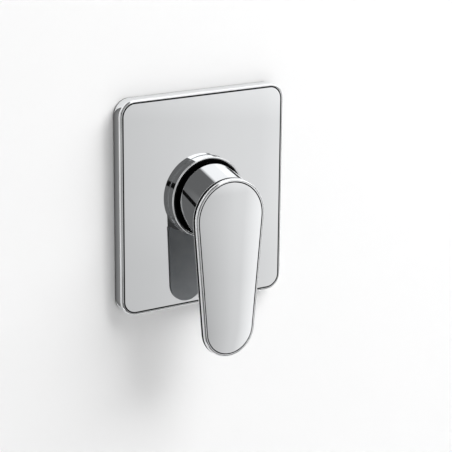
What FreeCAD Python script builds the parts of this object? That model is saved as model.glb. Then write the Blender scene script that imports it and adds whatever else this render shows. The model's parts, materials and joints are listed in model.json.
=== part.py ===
import FreeCAD, Part
import math
import os

from FreeCAD import Vector

# Concealed single-lever shower mixer, in millimetres.
# The origin is on the lever axis at the finished wall plane y = 0.
# +Z is up, the user stands at -Y, and the valve body is in the wall at +Y.

X_AXIS = Vector(1, 0, 0)
Y_AXIS = Vector(0, 1, 0)
Z_AXIS = Vector(0, 0, 1)

# Fits shared by many pieces
SNUG = 0.05             # radial gap of pieces that are pushed together
RUNNING = 0.08          # radial gap of pieces that turn in each other
LOOSE = 0.30            # gap of pieces that pass each other freely
SEAL_FLOAT = 0.03       # gap left round a rubber ring in its groove
FILM = 0.02             # gap between faces that slide on each other
OVERCUT = 1.0           # how far a cutting tool stands out of what it cuts

# Face plate, a hollow shell whose rim lies on the wall
PLATE_WIDTH = 125.0
PLATE_HEIGHT = 145.0
PLATE_DEPTH = 9.0
PLATE_WALL = 1.8
PLATE_CORNER = 11.0
PLATE_EDGE = 2.2
PLATE_DROP = 2.6        # the plate's centre lies this far below the lever axis
PLATE_COLLAR_WALL = 5.0
PLATE_COLLAR_LENGTH = 4.8
PLATE_GROOVE_DEPTH = 1.7
PLATE_GROOVE_WIDTH = 2.4
GASKET_WIDTH = 4.0
GASKET_DEPTH = 4.0

# Lever: an oblique round hub that carries a teardrop blade
LIFT_ANGLE = 25.0
CLOSED_TILT = LIFT_ANGLE / 2
HUB_RADIUS = 23.8
HUB_FRONT_RADIUS = 25.2
HUB_WALL = 2.2
HUB_EDGE = 1.5
HUB_GAP = 2.6           # from the sleeve's rim forward to the hub's rim
BLADE_REACH = 28.8      # from the sleeve's rim forward to the blade's face
BLADE_EDGE = 2.4
BLADE_BAND = 0.5        # straight side between the rounded edge and the hull
BLADE_TOP_RADIUS = 26.3
BLADE_TOP_DROP = 7.3
BLADE_TIP_RADIUS = 19.7
BLADE_TIP_DROP = 83.2
HULL_DEPTH = 10.7       # from the blade's band back to its flat back
BACK_TOP_RADIUS = 16.8
BACK_TOP_DROP = 5.2
BACK_TIP_RADIUS = 14.2
BACK_TIP_DROP = 66.9
BACK_RIM = 1.3          # metal left round the back cover
BACK_COVER_DEPTH = 2.0
POCKET_LEDGE = 1.7      # seat that the back cover rests on
COVER_HUB_GAP = 0.8     # metal left between the back cover and the hub
FACE_WALL = 3.4
SOCKET_BOSS_RADIUS = 8.5
SOCKET_START = 6.5      # from the pivot forward to the rear of the socket
SCREW_DISTANCE = 15.3   # from the pivot forward to the grub screw
SCREW_RADIUS = 2.5
SCREW_LENGTH = 8.0
SCREW_KEY = 1.25        # inscribed radius of the hexagon socket
SCREW_KEY_DEPTH = 3.0
SCREW_BOSS_WALL = 1.6
PLUG_RADIUS = 3.2
PLUG_LENGTH = 3.4
PLUG_INSET = 0.5        # the plug sits this far inside the hub's wall
PLUG_EDGE = 0.6

# Sleeve and the black ring inside it
SLEEVE_WALL = 1.7
SLEEVE_PROUD = 6.0      # in front of the plate's face
SLEEVE_LENGTH = 27.0
SLEEVE_EDGE = 0.6
COVER_WALL = 0.5
COVER_FLOOR = 0.6
COVER_RECESS = 0.4      # the ring's edge lies this far inside the sleeve's rim
COLLAR_LAP = 0.4        # the ring's collar reaches this far into the hub
COLLAR_GAP = 1.9        # from the collar out to the hub's hollow
LIFTED_GAP = 0.9        # from the rim of the lifted hub back to the ring's floor
SLEEVE_RING_GROOVE = 1.6
SLEEVE_RING_WIDTH = 2.4
SLEEVE_RING_PLACES = (6.0, 13.0)   # behind the front of the valve body's neck

# Cartridge, stacked backwards from the pivot of the spindle
PIVOT_DEPTH = 1.0       # behind the sleeve's rim
SPINDLE_WIDTH = 8.0
SPINDLE_REACH = 20.0    # from the pivot to the front end
SPINDLE_HEEL = 4.0      # from the pivot to the rear of the square part
SPINDLE_ARM = 19.5      # from the pivot to the centre of the ball
SPINDLE_CHAMFER = 0.6
SHANK_RADIUS = 2.2
BALL_RADIUS = 3.0
BALL_FLOAT = 0.15
PIN_RADIUS = 1.5
SHOULDER_DEPTH = 13.0   # from the pivot to the housing's shoulder
HOUSING_RADIUS = 20.0
HOUSING_WALL = 1.9
HOUSING_FRONT_WALL = 2.2
HOUSING_NECK_WALL = 2.0
HOUSING_NECK_LENGTH = 14.0
TURRET_RADIUS = 11.9
TURRET_FLANGE = 2.3
TURRET_NOSE = 2.0       # turret in front of the housing's neck
TURRET_GROOVE_DEPTH = 1.5
TURRET_GROOVE_WIDTH = 2.0
TURRET_GROOVE_PLACE = 8.0   # behind the pivot
TURRET_RIB_WIDTH = 2.4
TURRET_RIB_DEPTH = 4.0
TURRET_RIB_HALF = 8.0
STOP_HALF_ANGLE = 10.0
TURN_ANGLE = 50.0       # each way from the middle
LIMIT_RING_WALL = 1.8
WASHER_THICKNESS = 0.4
CARRIER_HALF_WIDTH = 9.5
CARRIER_GAP = 1.0       # from the raised carrier's corners to the housing
CARRIER_FLOOR = 1.2
CARRIER_PEG_RADIUS = 1.5
CARRIER_PEG_LENGTH = 1.5
CARRIER_PEG_PLACE = 7.0
DISC_THICKNESS = 4.0
DISC_GAP = 0.9          # from the raised moving disc to the housing
DISC_CHAMFER = 0.4
POCKET_RADIUS = 7.9
POCKET_CENTRE = 1.5
POCKET_OUTLET_RADIUS = 6.0
POCKET_RIM = 2.0        # ceramic left above the pocket
POCKET_DEPTH = 2.0
INLET_RIM = 7.6         # from the housing's inner wall to the inlets' centres
INLET_ANGLE = 25.3      # of the inlets below the lever axis
INLET_RADIUS = 3.8
OUTLET_RIM = 8.6        # from the housing's inner wall to the outlet's centre
OUTLET_RADIUS = 4.6
SEAL_SECTION = 0.8      # radius of the rubber section at the ports
SEAL_PROUD = 0.25       # seal height above the face of the base
BASE_THICKNESS = 5.8
BASE_SPIGOT = 0.5
BASE_FOOT_GAP = 0.5     # between the base and the floor of the chamber
BASE_PEG_PLACE = (12.0, 9.0)
BASE_PEG_RADIUS = 1.5
BASE_PEG_LENGTH = 3.0

# Valve body
NECK_CLEARANCE = 0.3    # between the neck and the sleeve's bore
NECK_WALL = 1.8         # least brass between the nut's thread and the ring grooves
NUT_OVERSIZE = 1.9      # the nut's thread stands out this far past the cartridge
NUT_NOSE_INSET = 1.0    # the nut's nose is this much smaller than the cartridge
NUT_NOSE_LENGTH = 4.5
NUT_NOTCHES = 6
NUT_NOTCH_WIDTH = 4.0
NUT_NOTCH_DEPTH = 2.0
SLIP_WASHER_THICKNESS = 0.8
BODY_WALL = 8.95        # round the cartridge's chamber
BODY_BACK_WALL = 18.0   # from the pipe axes back to the rear of the body
PORT_DEPTH = 17.4       # from the chamber's floor back to the pipe axes
PORT_REACH = 52.0       # from the lever axis to the mouth of each port
PORT_BOSS_RADIUS = 14.5
PORT_THREAD_RADIUS = 9.32
PORT_THREAD_LENGTH = 15.0
PORT_MOUTH_CHAMFER = 1.2
PASSAGE_RADIUS = 5.0
PASSAGE_SPACE = 7.0     # from the lever axis to the blind end of each passage
LUG_SPACING = 74.0
LUG_DROP = 25.0
LUG_WIDTH = 12.0
LUG_THICKNESS = 6.0
LUG_HOLE_RADIUS = 2.75

# Places along Y of the plate, the sleeve and the lever
plate_face = -PLATE_DEPTH
sleeve_front = plate_face - SLEEVE_PROUD
sleeve_back = sleeve_front + SLEEVE_LENGTH
hub_rear = sleeve_front - HUB_GAP
blade_face = sleeve_front - BLADE_REACH
blade_band = blade_face + BLADE_EDGE + BLADE_BAND
blade_back = blade_band + HULL_DEPTH
pivot_y = sleeve_front + PIVOT_DEPTH

# Room that the hub needs inside the sleeve: the sweep of its rim, the place of the
# fully lifted rim, and the height of the lifted hub where it passes the sleeve's rim
lift = math.radians(LIFT_ANGLE)
hub_setback = pivot_y - hub_rear
hub_sweep = math.hypot(hub_setback, HUB_RADIUS)
lifted_rim_y = pivot_y - hub_setback * math.cos(lift) + HUB_RADIUS * math.sin(lift)
lifted_rim_z = HUB_RADIUS * math.cos(lift) + hub_setback * math.sin(lift)
hub_fall = math.atan2(HUB_RADIUS - HUB_FRONT_RADIUS + BLADE_TOP_DROP, hub_rear - blade_band)
hub_rise = lifted_rim_z + (lifted_rim_y - sleeve_front) * math.tan(lift - hub_fall)

# Places along Y of the ring, the cartridge and the body
cover_floor_front = lifted_rim_y + LIFTED_GAP
neck_front = cover_floor_front + COVER_FLOOR + SNUG
shoulder = pivot_y + SHOULDER_DEPTH
housing_inside = shoulder + HOUSING_FRONT_WALL
flange_front = housing_inside + WASHER_THICKNESS + 2 * FILM
flange_back = flange_front + TURRET_FLANGE
carrier_front = flange_back + LOOSE
socket_floor = pivot_y + SPINDLE_ARM + BALL_RADIUS + BALL_FLOAT
carrier_back = socket_floor + CARRIER_FLOOR
moving_back = carrier_back + FILM + DISC_THICKNESS
fixed_front = moving_back + FILM
fixed_back = fixed_front + DISC_THICKNESS
base_front = fixed_back + SEAL_PROUD
housing_back = base_front + BASE_SPIGOT
base_back = base_front + BASE_THICKNESS
chamber_floor = base_back + BASE_FOOT_GAP
port_y = chamber_floor + PORT_DEPTH
body_back = port_y + BODY_BACK_WALL
housing_neck_front = shoulder - HOUSING_NECK_LENGTH
turret_front = housing_neck_front - TURRET_NOSE
nut_nose_front = neck_front - NUT_NOSE_LENGTH

# Radii that follow from the sizes above
chamber_radius = HOUSING_RADIUS + SNUG
body_radius = chamber_radius + BODY_WALL
nut_radius = HOUSING_RADIUS + NUT_OVERSIZE
hub_room = max(hub_sweep, hub_rise) + LOOSE + COVER_WALL + SNUG
neck_room = nut_radius + SNUG + NECK_WALL + SLEEVE_RING_GROOVE + NECK_CLEARANCE
sleeve_bore = max(hub_room, neck_room)
sleeve_radius = sleeve_bore + SLEEVE_WALL
cover_bore = sleeve_bore - SNUG - COVER_WALL
neck_radius = sleeve_bore - NECK_CLEARANCE
nut_nose_radius = HOUSING_RADIUS - NUT_NOSE_INSET
housing_neck_bore = TURRET_RADIUS + RUNNING
housing_neck_radius = housing_neck_bore + HOUSING_NECK_WALL
cavity_radius = HOUSING_RADIUS - HOUSING_WALL
flange_radius = cavity_radius - LOOSE
disc_shift = SPINDLE_ARM * math.sin(math.radians(CLOSED_TILT))
moving_disc_radius = cavity_radius - disc_shift - DISC_GAP
pocket_outlet_centre = moving_disc_radius - POCKET_RIM - POCKET_OUTLET_RADIUS
carrier_half_height = math.sqrt((cavity_radius - CARRIER_GAP) ** 2 - CARRIER_HALF_WIDTH ** 2) - disc_shift
pivot = Vector(0, pivot_y, 0)

# The three ports of the cartridge as (x, z, radius)
inlet_x = (cavity_radius - INLET_RIM) * math.cos(math.radians(INLET_ANGLE))
inlet_z = -(cavity_radius - INLET_RIM) * math.sin(math.radians(INLET_ANGLE))
ports = ((inlet_x, inlet_z, INLET_RADIUS),
         (-inlet_x, inlet_z, INLET_RADIUS),
         (0.0, cavity_radius - OUTLET_RIM, OUTLET_RADIUS))


def y_cylinder(radius, start, end, x=0.0, z=0.0):
    """Cylinder along Y from start to end."""
    return Part.makeCylinder(radius, end - start, Vector(x, start, z), Y_AXIS)


def y_ring(outer, inner, start, end, x=0.0, z=0.0):
    """Plain ring along Y."""
    hole = y_cylinder(inner, start - OVERCUT, end + OVERCUT, x, z)
    return y_cylinder(outer, start, end, x, z).cut(hole)


def y_box(half_x, half_z, start, end, x=0.0, z=0.0):
    """Box along Y, centred on x and z."""
    corner = Vector(x - half_x, start, z - half_z)
    return Part.makeBox(2 * half_x, end - start, 2 * half_z, corner)


def y_torus(radius, section, y, x=0.0, z=0.0):
    """Round rubber ring about an axis along Y."""
    return Part.makeTorus(radius, section, Vector(x, y, z), Y_AXIS)


def ring_in_groove(outer, inner, y):
    """Rubber ring that fills the room between two radii."""
    section = (outer - inner) / 2 - SEAL_FLOAT
    return y_torus((outer + inner) / 2, section, y)


def revolve(points):
    """Solid of revolution about the lever axis, from (radius, y) points."""
    corners = [Vector(radius, y, 0) for radius, y in points]
    outline = Part.makePolygon(corners + corners[:1])
    return Part.Face(outline).revolve(Vector(0, 0, 0), Y_AXIS, 360)


def edges_at(shape, y):
    """Edges of a shape that lie wholly in the plane at y."""
    return [edge for edge in shape.Edges
            if abs(edge.BoundBox.YMin - y) < FILM and abs(edge.BoundBox.YMax - y) < FILM]


def tilted(shape):
    """A shape made along Y, turned down about the pivot to the closed position."""
    turned = shape.copy()
    turned.rotate(pivot, X_AXIS, CLOSED_TILT)
    return turned


def rounded_rectangle(width, height, corner, y):
    """Wire of a rounded rectangle about the plate's centre."""
    half_x = width / 2
    half_z = height / 2
    bend = corner * (1 - math.sqrt(0.5))

    def point(x, z):
        return Vector(x, y, z - PLATE_DROP)

    edges = []
    for sign_x, sign_z in ((1, 1), (-1, 1), (-1, -1), (1, -1)):
        upright = point(sign_x * half_x, sign_z * (half_z - corner))
        middle = point(sign_x * (half_x - bend), sign_z * (half_z - bend))
        level = point(sign_x * (half_x - corner), sign_z * half_z)
        ends = (upright, level) if sign_x == sign_z else (level, upright)
        edges.append((ends[0], middle, ends[1]))
    outline = []
    for place, (start, middle, end) in enumerate(edges):
        following = edges[(place + 1) % len(edges)][0]
        outline.append(Part.Arc(start, middle, end).toShape())
        outline.append(Part.LineSegment(end, following).toShape())
    return Part.Wire(outline)


def rounded_slab(inset, start, end):
    """Rounded rectangle inside the plate's outline, extruded along Y."""
    wire = rounded_rectangle(PLATE_WIDTH - 2 * inset, PLATE_HEIGHT - 2 * inset, PLATE_CORNER - inset, start)
    return Part.Face(wire).extrude(Vector(0, end - start, 0))


def make_face_plate():
    """Chrome shell with a collar that grips the sleeve through a rubber ring."""
    inside = plate_face + PLATE_WALL
    hole_radius = sleeve_radius + LOOSE
    shell = rounded_slab(0, 0, plate_face)
    shell = shell.makeFillet(PLATE_EDGE, edges_at(shell, plate_face))
    shell = shell.cut(rounded_slab(PLATE_WALL, OVERCUT, inside))
    shell = shell.fuse(y_cylinder(hole_radius + PLATE_COLLAR_WALL, inside, inside + PLATE_COLLAR_LENGTH))
    shell = shell.cut(y_cylinder(hole_radius, plate_face - OVERCUT, OVERCUT))
    groove_start = plate_ring_y() - PLATE_GROOVE_WIDTH / 2
    groove = y_cylinder(hole_radius + PLATE_GROOVE_DEPTH, groove_start, groove_start + PLATE_GROOVE_WIDTH)
    return shell.cut(groove).removeSplitter()


def plate_ring_y():
    return plate_face + PLATE_WALL + PLATE_COLLAR_LENGTH / 2


def make_plate_o_ring():
    return ring_in_groove(sleeve_radius + LOOSE + PLATE_GROOVE_DEPTH, sleeve_radius, plate_ring_y())


def make_plate_gasket():
    """Foam strip along the inside of the plate's rim."""
    outer = rounded_slab(PLATE_WALL + SNUG, 0, -GASKET_DEPTH)
    inner = rounded_slab(PLATE_WALL + SNUG + GASKET_WIDTH, OVERCUT, -GASKET_DEPTH - OVERCUT)
    return outer.cut(inner)


def make_sleeve():
    tube = y_ring(sleeve_radius, sleeve_bore, sleeve_front, sleeve_back)
    return tube.makeFillet(SLEEVE_EDGE, edges_at(tube, sleeve_front))


def make_cover_ring():
    """Black ring that lines the sleeve and caps the nut's nose; its collar reaches into the hub."""
    outer = sleeve_bore - SNUG
    cap_bore = nut_nose_radius + SNUG
    cap_radius = cap_bore + COVER_FLOOR
    cap_inside = nut_nose_front - SNUG
    cap_front = cap_inside - COVER_FLOOR
    lip_bore = housing_neck_radius + LOOSE
    floor_back = neck_front - SNUG
    lining = revolve([
        (outer, sleeve_front + COVER_RECESS),
        (outer, floor_back),
        (cap_bore, floor_back),
        (cap_bore, cap_inside),
        (lip_bore, cap_inside),
        (lip_bore, cap_front),
        (cap_radius, cap_front),
        (cap_radius, cover_floor_front),
        (cover_bore, cover_floor_front),
        (cover_bore, sleeve_front + COVER_RECESS),
    ])
    collar_radius = min(cap_radius, HUB_RADIUS - HUB_WALL - COLLAR_GAP)
    collar = y_ring(collar_radius, collar_radius - COVER_FLOOR, hub_rear - COLLAR_LAP, cap_inside)
    return lining.fuse(collar).removeSplitter()


def sleeve_ring_places():
    return [neck_front + place for place in SLEEVE_RING_PLACES]


def make_sleeve_o_rings():
    floor = neck_radius - SLEEVE_RING_GROOVE
    return Part.Compound([ring_in_groove(sleeve_bore, floor, y) for y in sleeve_ring_places()])


def port_boss(direction):
    """Solid boss of one pipe port, from the body's middle to the mouth."""
    start = Vector(0, port_y, 0)
    boss = Part.makeCylinder(PORT_BOSS_RADIUS, PORT_REACH, start, direction)
    mouth = [edge for edge in boss.Edges if edge.CenterOfMass.sub(start).dot(direction) > PORT_REACH - SNUG]
    return boss.makeChamfer(PORT_MOUTH_CHAMFER, mouth)


def port_bore(direction):
    """Threaded bore of one pipe port and the passage behind it."""
    start = Vector(0, port_y, 0)
    thread_start = start + direction * (PORT_REACH - PORT_THREAD_LENGTH)
    thread = Part.makeCylinder(PORT_THREAD_RADIUS, PORT_THREAD_LENGTH + OVERCUT, thread_start, direction)
    passage_start = start + direction * PASSAGE_SPACE
    passage = Part.makeCylinder(PASSAGE_RADIUS, PORT_REACH - PASSAGE_SPACE, passage_start, direction)
    return thread.fuse(passage)


def make_valve_body():
    """Brass body: neck for the sleeve, chamber for the cartridge, ports and lugs."""
    neck_back = sleeve_back + LOOSE
    body = y_cylinder(neck_radius, neck_front, neck_back)
    body = body.fuse(y_cylinder(body_radius, neck_back, body_back))
    directions = (X_AXIS, X_AXIS * -1, Z_AXIS)
    for direction in directions:
        body = body.fuse(port_boss(direction))
    lug_half = LUG_SPACING / 2 + LUG_WIDTH / 2
    body = body.fuse(y_box(lug_half, LUG_WIDTH / 2, body_back - LUG_THICKNESS, body_back, z=-LUG_DROP))
    body = body.cut(y_cylinder(chamber_radius, neck_front - OVERCUT, chamber_floor))
    body = body.cut(y_cylinder(nut_radius + SNUG, neck_front - OVERCUT, shoulder))
    for x, z, radius in ports:
        body = body.cut(y_cylinder(radius, chamber_floor - OVERCUT, port_y, x, z))
    for direction in directions:
        body = body.cut(port_bore(direction))
    for side in (-1, 1):
        peg_x = side * BASE_PEG_PLACE[0]
        peg_hole_back = base_back + BASE_PEG_LENGTH + LOOSE
        body = body.cut(y_cylinder(BASE_PEG_RADIUS + SNUG, chamber_floor - OVERCUT, peg_hole_back,
                                   peg_x, BASE_PEG_PLACE[1]))
        body = body.cut(y_cylinder(LUG_HOLE_RADIUS, body_back - LUG_THICKNESS - OVERCUT, body_back + OVERCUT,
                                   side * LUG_SPACING / 2, -LUG_DROP))
    for y in sleeve_ring_places():
        half = SLEEVE_RING_WIDTH / 2
        body = body.cut(y_ring(neck_radius + OVERCUT, neck_radius - SLEEVE_RING_GROOVE, y - half, y + half))
    return body.removeSplitter()


def make_cartridge_nut():
    """Threaded ring nut with a notched nose for the spanner."""
    nut_back = shoulder - SLIP_WASHER_THICKNESS
    bore = housing_neck_radius + LOOSE
    nut = y_ring(nut_radius, bore, neck_front, nut_back)
    nut = nut.fuse(y_ring(nut_nose_radius, bore, nut_nose_front, neck_front))
    for step in range(NUT_NOTCHES):
        notch = Part.makeBox(nut_nose_radius + OVERCUT, NUT_NOTCH_DEPTH + OVERCUT, NUT_NOTCH_WIDTH,
                             Vector(0, nut_nose_front - OVERCUT, -NUT_NOTCH_WIDTH / 2))
        notch.rotate(Vector(0, 0, 0), Y_AXIS, 360 * step / NUT_NOTCHES)
        nut = nut.cut(notch)
    return nut.removeSplitter()


def make_slip_washer():
    return y_ring(HOUSING_RADIUS, housing_neck_radius + LOOSE, shoulder - SLIP_WASHER_THICKNESS, shoulder)


def make_cartridge_housing():
    """Plastic shell with a neck that guides the turret."""
    housing = y_cylinder(HOUSING_RADIUS, shoulder, housing_back)
    housing = housing.fuse(y_cylinder(housing_neck_radius, housing_neck_front, shoulder))
    housing = housing.cut(y_cylinder(cavity_radius, housing_inside, housing_back + OVERCUT))
    return housing.cut(y_cylinder(housing_neck_bore, housing_neck_front - OVERCUT, housing_inside + OVERCUT))


def port_seal(x, z, radius, y):
    """Rubber ring round one port; its own radius is the port's plus the section."""
    return y_torus(radius + SEAL_SECTION + SNUG, SEAL_SECTION, y, x, z)


def disc_seal_y():
    return fixed_back + FILM + SEAL_SECTION


def base_seal_y():
    return chamber_floor - FILM - SEAL_SECTION


def make_disc_seals():
    return Part.Compound([port_seal(x, z, radius, disc_seal_y()) for x, z, radius in ports])


def make_base_seals():
    return Part.Compound([port_seal(x, z, radius, base_seal_y()) for x, z, radius in ports])


def make_cartridge_base():
    """Plastic base: three ports, a seal recess round each on both faces, two pegs."""
    base = y_cylinder(cavity_radius - SNUG, base_front, housing_back)
    base = base.fuse(y_cylinder(HOUSING_RADIUS, housing_back, base_back))
    for side in (-1, 1):
        base = base.fuse(y_cylinder(BASE_PEG_RADIUS, base_back, base_back + BASE_PEG_LENGTH,
                                    side * BASE_PEG_PLACE[0], BASE_PEG_PLACE[1]))
    front_depth = disc_seal_y() + SEAL_SECTION + SEAL_FLOAT
    back_depth = base_seal_y() - SEAL_SECTION - SEAL_FLOAT
    for x, z, radius in ports:
        recess_radius = radius + 2 * SEAL_SECTION + 2 * SNUG
        base = base.cut(y_cylinder(radius, base_front - OVERCUT, base_back + OVERCUT, x, z))
        base = base.cut(y_cylinder(recess_radius, base_front - OVERCUT, front_depth, x, z))
        base = base.cut(y_cylinder(recess_radius, back_depth, base_back + OVERCUT, x, z))
    return base


def make_fixed_disc():
    disc = y_cylinder(cavity_radius - SNUG, fixed_front, fixed_back)
    disc = disc.makeChamfer(DISC_CHAMFER, edges_at(disc, fixed_front))
    for x, z, radius in ports:
        disc = disc.cut(y_cylinder(radius, fixed_front - OVERCUT, fixed_back + OVERCUT, x, z))
    return disc


def make_moving_disc():
    """Ceramic disc with a blind mixing pocket; at rest it is raised to the closed place."""
    front = carrier_back + FILM
    disc = y_cylinder(moving_disc_radius, front, moving_back, z=disc_shift)
    disc = disc.makeChamfer(DISC_CHAMFER, edges_at(disc, moving_back))
    pocket_front = moving_back - POCKET_DEPTH
    for radius, centre in ((POCKET_RADIUS, POCKET_CENTRE), (POCKET_OUTLET_RADIUS, pocket_outlet_centre)):
        disc = disc.cut(y_cylinder(radius, pocket_front, moving_back + OVERCUT, z=disc_shift + centre))
    for side in (-1, 1):
        disc = disc.cut(y_cylinder(CARRIER_PEG_RADIUS + SNUG, front - OVERCUT, front + CARRIER_PEG_LENGTH,
                                   side * CARRIER_PEG_PLACE, disc_shift))
    return disc


def make_disc_carrier():
    """Plastic slide with a socket for the spindle's ball and two pegs for the disc."""
    carrier = y_box(CARRIER_HALF_WIDTH, carrier_half_height, carrier_front, carrier_back, z=disc_shift)
    socket_half = BALL_RADIUS + BALL_FLOAT
    socket_front = carrier_front - OVERCUT
    carrier = carrier.cut(y_box(socket_half, socket_half, socket_front, socket_floor, z=disc_shift))
    for side in (-1, 1):
        carrier = carrier.fuse(y_cylinder(CARRIER_PEG_RADIUS, carrier_back, carrier_back + CARRIER_PEG_LENGTH,
                                          side * CARRIER_PEG_PLACE, disc_shift))
    return carrier


def wedge(half_angle, radius, start, end):
    """Slice of a cylinder about the lever axis, centred on +Z."""
    turn = math.radians(half_angle)
    corner = Vector(math.sin(turn) * radius, start, math.cos(turn) * radius)
    mirror = Vector(-corner.x, start, corner.z)
    arc = Part.Arc(mirror, Vector(0, start, radius), corner).toShape()
    centre = Vector(0, start, 0)
    sides = [Part.LineSegment(corner, centre).toShape(), Part.LineSegment(centre, mirror).toShape()]
    return Part.Face(Part.Wire([arc] + sides)).extrude(Vector(0, end - start, 0))


def make_limit_ring():
    """Open ring on the cartridge's neck; its ends stop the turret's lug."""
    start = turret_front
    end = housing_neck_front - FILM
    gap_angle = TURN_ANGLE + STOP_HALF_ANGLE + math.degrees(LOOSE / TURRET_RADIUS)
    inner = housing_neck_bore
    ring = y_ring(inner + LIMIT_RING_WALL, inner, start, end)
    opening = wedge(gap_angle, inner + LIMIT_RING_WALL + OVERCUT, start - OVERCUT, end + OVERCUT)
    return ring.cut(opening)


def make_turret():
    """Turning guide: round neck, flange with two ribs, slot for the spindle, stop lug."""
    turret = y_cylinder(TURRET_RADIUS, turret_front, flange_front)
    turret = turret.fuse(y_cylinder(flange_radius, flange_front, flange_back))
    for side in (-1, 1):
        rib_x = side * (CARRIER_HALF_WIDTH + RUNNING + TURRET_RIB_WIDTH / 2)
        turret = turret.fuse(y_box(TURRET_RIB_WIDTH / 2, TURRET_RIB_HALF, flange_back,
                                   flange_back + TURRET_RIB_DEPTH, x=rib_x))
    lug_radius = housing_neck_bore + LIMIT_RING_WALL - LOOSE
    turret = turret.fuse(wedge(STOP_HALF_ANGLE, lug_radius, turret_front, housing_neck_front - LOOSE))
    slot_half_x = SPINDLE_WIDTH / 2 + RUNNING
    turn = math.radians(CLOSED_TILT)
    front_need = math.tan(turn) * (pivot_y - turret_front) + SPINDLE_WIDTH / 2 / math.cos(turn)
    slot_half_z = max(front_need, disc_shift + BALL_RADIUS) + LOOSE
    turret = turret.cut(y_box(slot_half_x, slot_half_z, turret_front - OVERCUT, flange_back + OVERCUT))
    pin_start = Vector(-TURRET_RADIUS, pivot_y, 0)
    turret = turret.cut(Part.makeCylinder(PIN_RADIUS + FILM, 2 * TURRET_RADIUS, pin_start, X_AXIS))
    half = TURRET_GROOVE_WIDTH / 2
    groove_y = pivot_y + TURRET_GROOVE_PLACE
    groove_floor = TURRET_RADIUS - TURRET_GROOVE_DEPTH
    return turret.cut(y_ring(TURRET_RADIUS + OVERCUT, groove_floor, groove_y - half, groove_y + half))


def make_turret_o_ring():
    groove_floor = TURRET_RADIUS - TURRET_GROOVE_DEPTH
    return ring_in_groove(housing_neck_bore, groove_floor, pivot_y + TURRET_GROOVE_PLACE)


def make_turret_washer():
    start = housing_inside + FILM
    return y_ring(flange_radius, TURRET_RADIUS + RUNNING, start, start + WASHER_THICKNESS)


def make_pivot_pin():
    half = TURRET_RADIUS - LOOSE
    return Part.makeCylinder(PIN_RADIUS, 2 * half, Vector(-half, pivot_y, 0), X_AXIS)


def make_spindle():
    """Square front part, round shank and ball end, turned down to the closed place."""
    half = SPINDLE_WIDTH / 2
    front = pivot_y - SPINDLE_REACH
    spindle = y_box(half, half, front, pivot_y + SPINDLE_HEEL)
    spindle = spindle.makeChamfer(SPINDLE_CHAMFER, edges_at(spindle, front))
    spindle = spindle.fuse(y_cylinder(SHANK_RADIUS, pivot_y, pivot_y + SPINDLE_ARM))
    spindle = spindle.fuse(Part.makeSphere(BALL_RADIUS, Vector(0, pivot_y + SPINDLE_ARM, 0)))
    hole = Part.makeCylinder(PIN_RADIUS + SNUG, 2 * SPINDLE_WIDTH, Vector(-SPINDLE_WIDTH, pivot_y, 0), X_AXIS)
    return tilted(spindle.cut(hole))


def teardrop(y, top_radius, top_drop, tip_radius, tip_drop):
    """Wire round two circles and their outer tangents, in the plane at y."""
    slope = (top_radius - tip_radius) / (tip_drop - top_drop)
    across = math.sqrt(1 - slope * slope)

    def contact(side, radius, drop):
        return Vector(side * radius * across, y, -drop - radius * slope)

    top = Vector(0, y, -top_drop + top_radius)
    tip = Vector(0, y, -tip_drop - tip_radius)
    right_top = contact(1, top_radius, top_drop)
    left_top = contact(-1, top_radius, top_drop)
    right_tip = contact(1, tip_radius, tip_drop)
    left_tip = contact(-1, tip_radius, tip_drop)
    return Part.Wire([
        Part.Arc(right_top, top, left_top).toShape(),
        Part.LineSegment(left_top, left_tip).toShape(),
        Part.Arc(left_tip, tip, right_tip).toShape(),
        Part.LineSegment(right_tip, right_top).toShape(),
    ])


def blade_outline(y):
    return teardrop(y, BLADE_TOP_RADIUS, BLADE_TOP_DROP, BLADE_TIP_RADIUS, BLADE_TIP_DROP)


def back_outline(y, inset):
    """Outline of the blade's flat back, moved inwards."""
    return teardrop(y, BACK_TOP_RADIUS - inset, BACK_TOP_DROP, BACK_TIP_RADIUS - inset, BACK_TIP_DROP)


def hub_circle(y, inset):
    """Section of the oblique hub at y, moved inwards."""
    share = (y - hub_rear) / (blade_band - hub_rear)
    radius = HUB_RADIUS + share * (HUB_FRONT_RADIUS - HUB_RADIUS)
    centre = Vector(0, y, -share * BLADE_TOP_DROP)
    return Part.Wire([Part.makeCircle(radius - inset, centre, Y_AXIS)])


def hub_loft(start, end, inset):
    return Part.makeLoft([hub_circle(start, inset), hub_circle(end, inset)], True, True)


def screw_cylinder(radius, start, end):
    """Cylinder along the grub screw, from start to end below the spindle's axis."""
    top = Vector(0, pivot_y - SCREW_DISTANCE, -start)
    return tilted(Part.makeCylinder(radius, end - start, top, Z_AXIS * -1))


def plug_end():
    """Distance below the spindle's axis of the plug's outer face."""
    return HUB_RADIUS - PLUG_INSET


def back_room(start, end, inset):
    """Room behind the blade for the cover or the pocket, clear of the hub."""
    room = Part.Face(back_outline(start, inset)).extrude(Vector(0, end - start, 0))
    hub = hub_loft(blade_back + OVERCUT, blade_band, -COVER_HUB_GAP - inset + BACK_RIM)
    return room.cut(hub)


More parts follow.
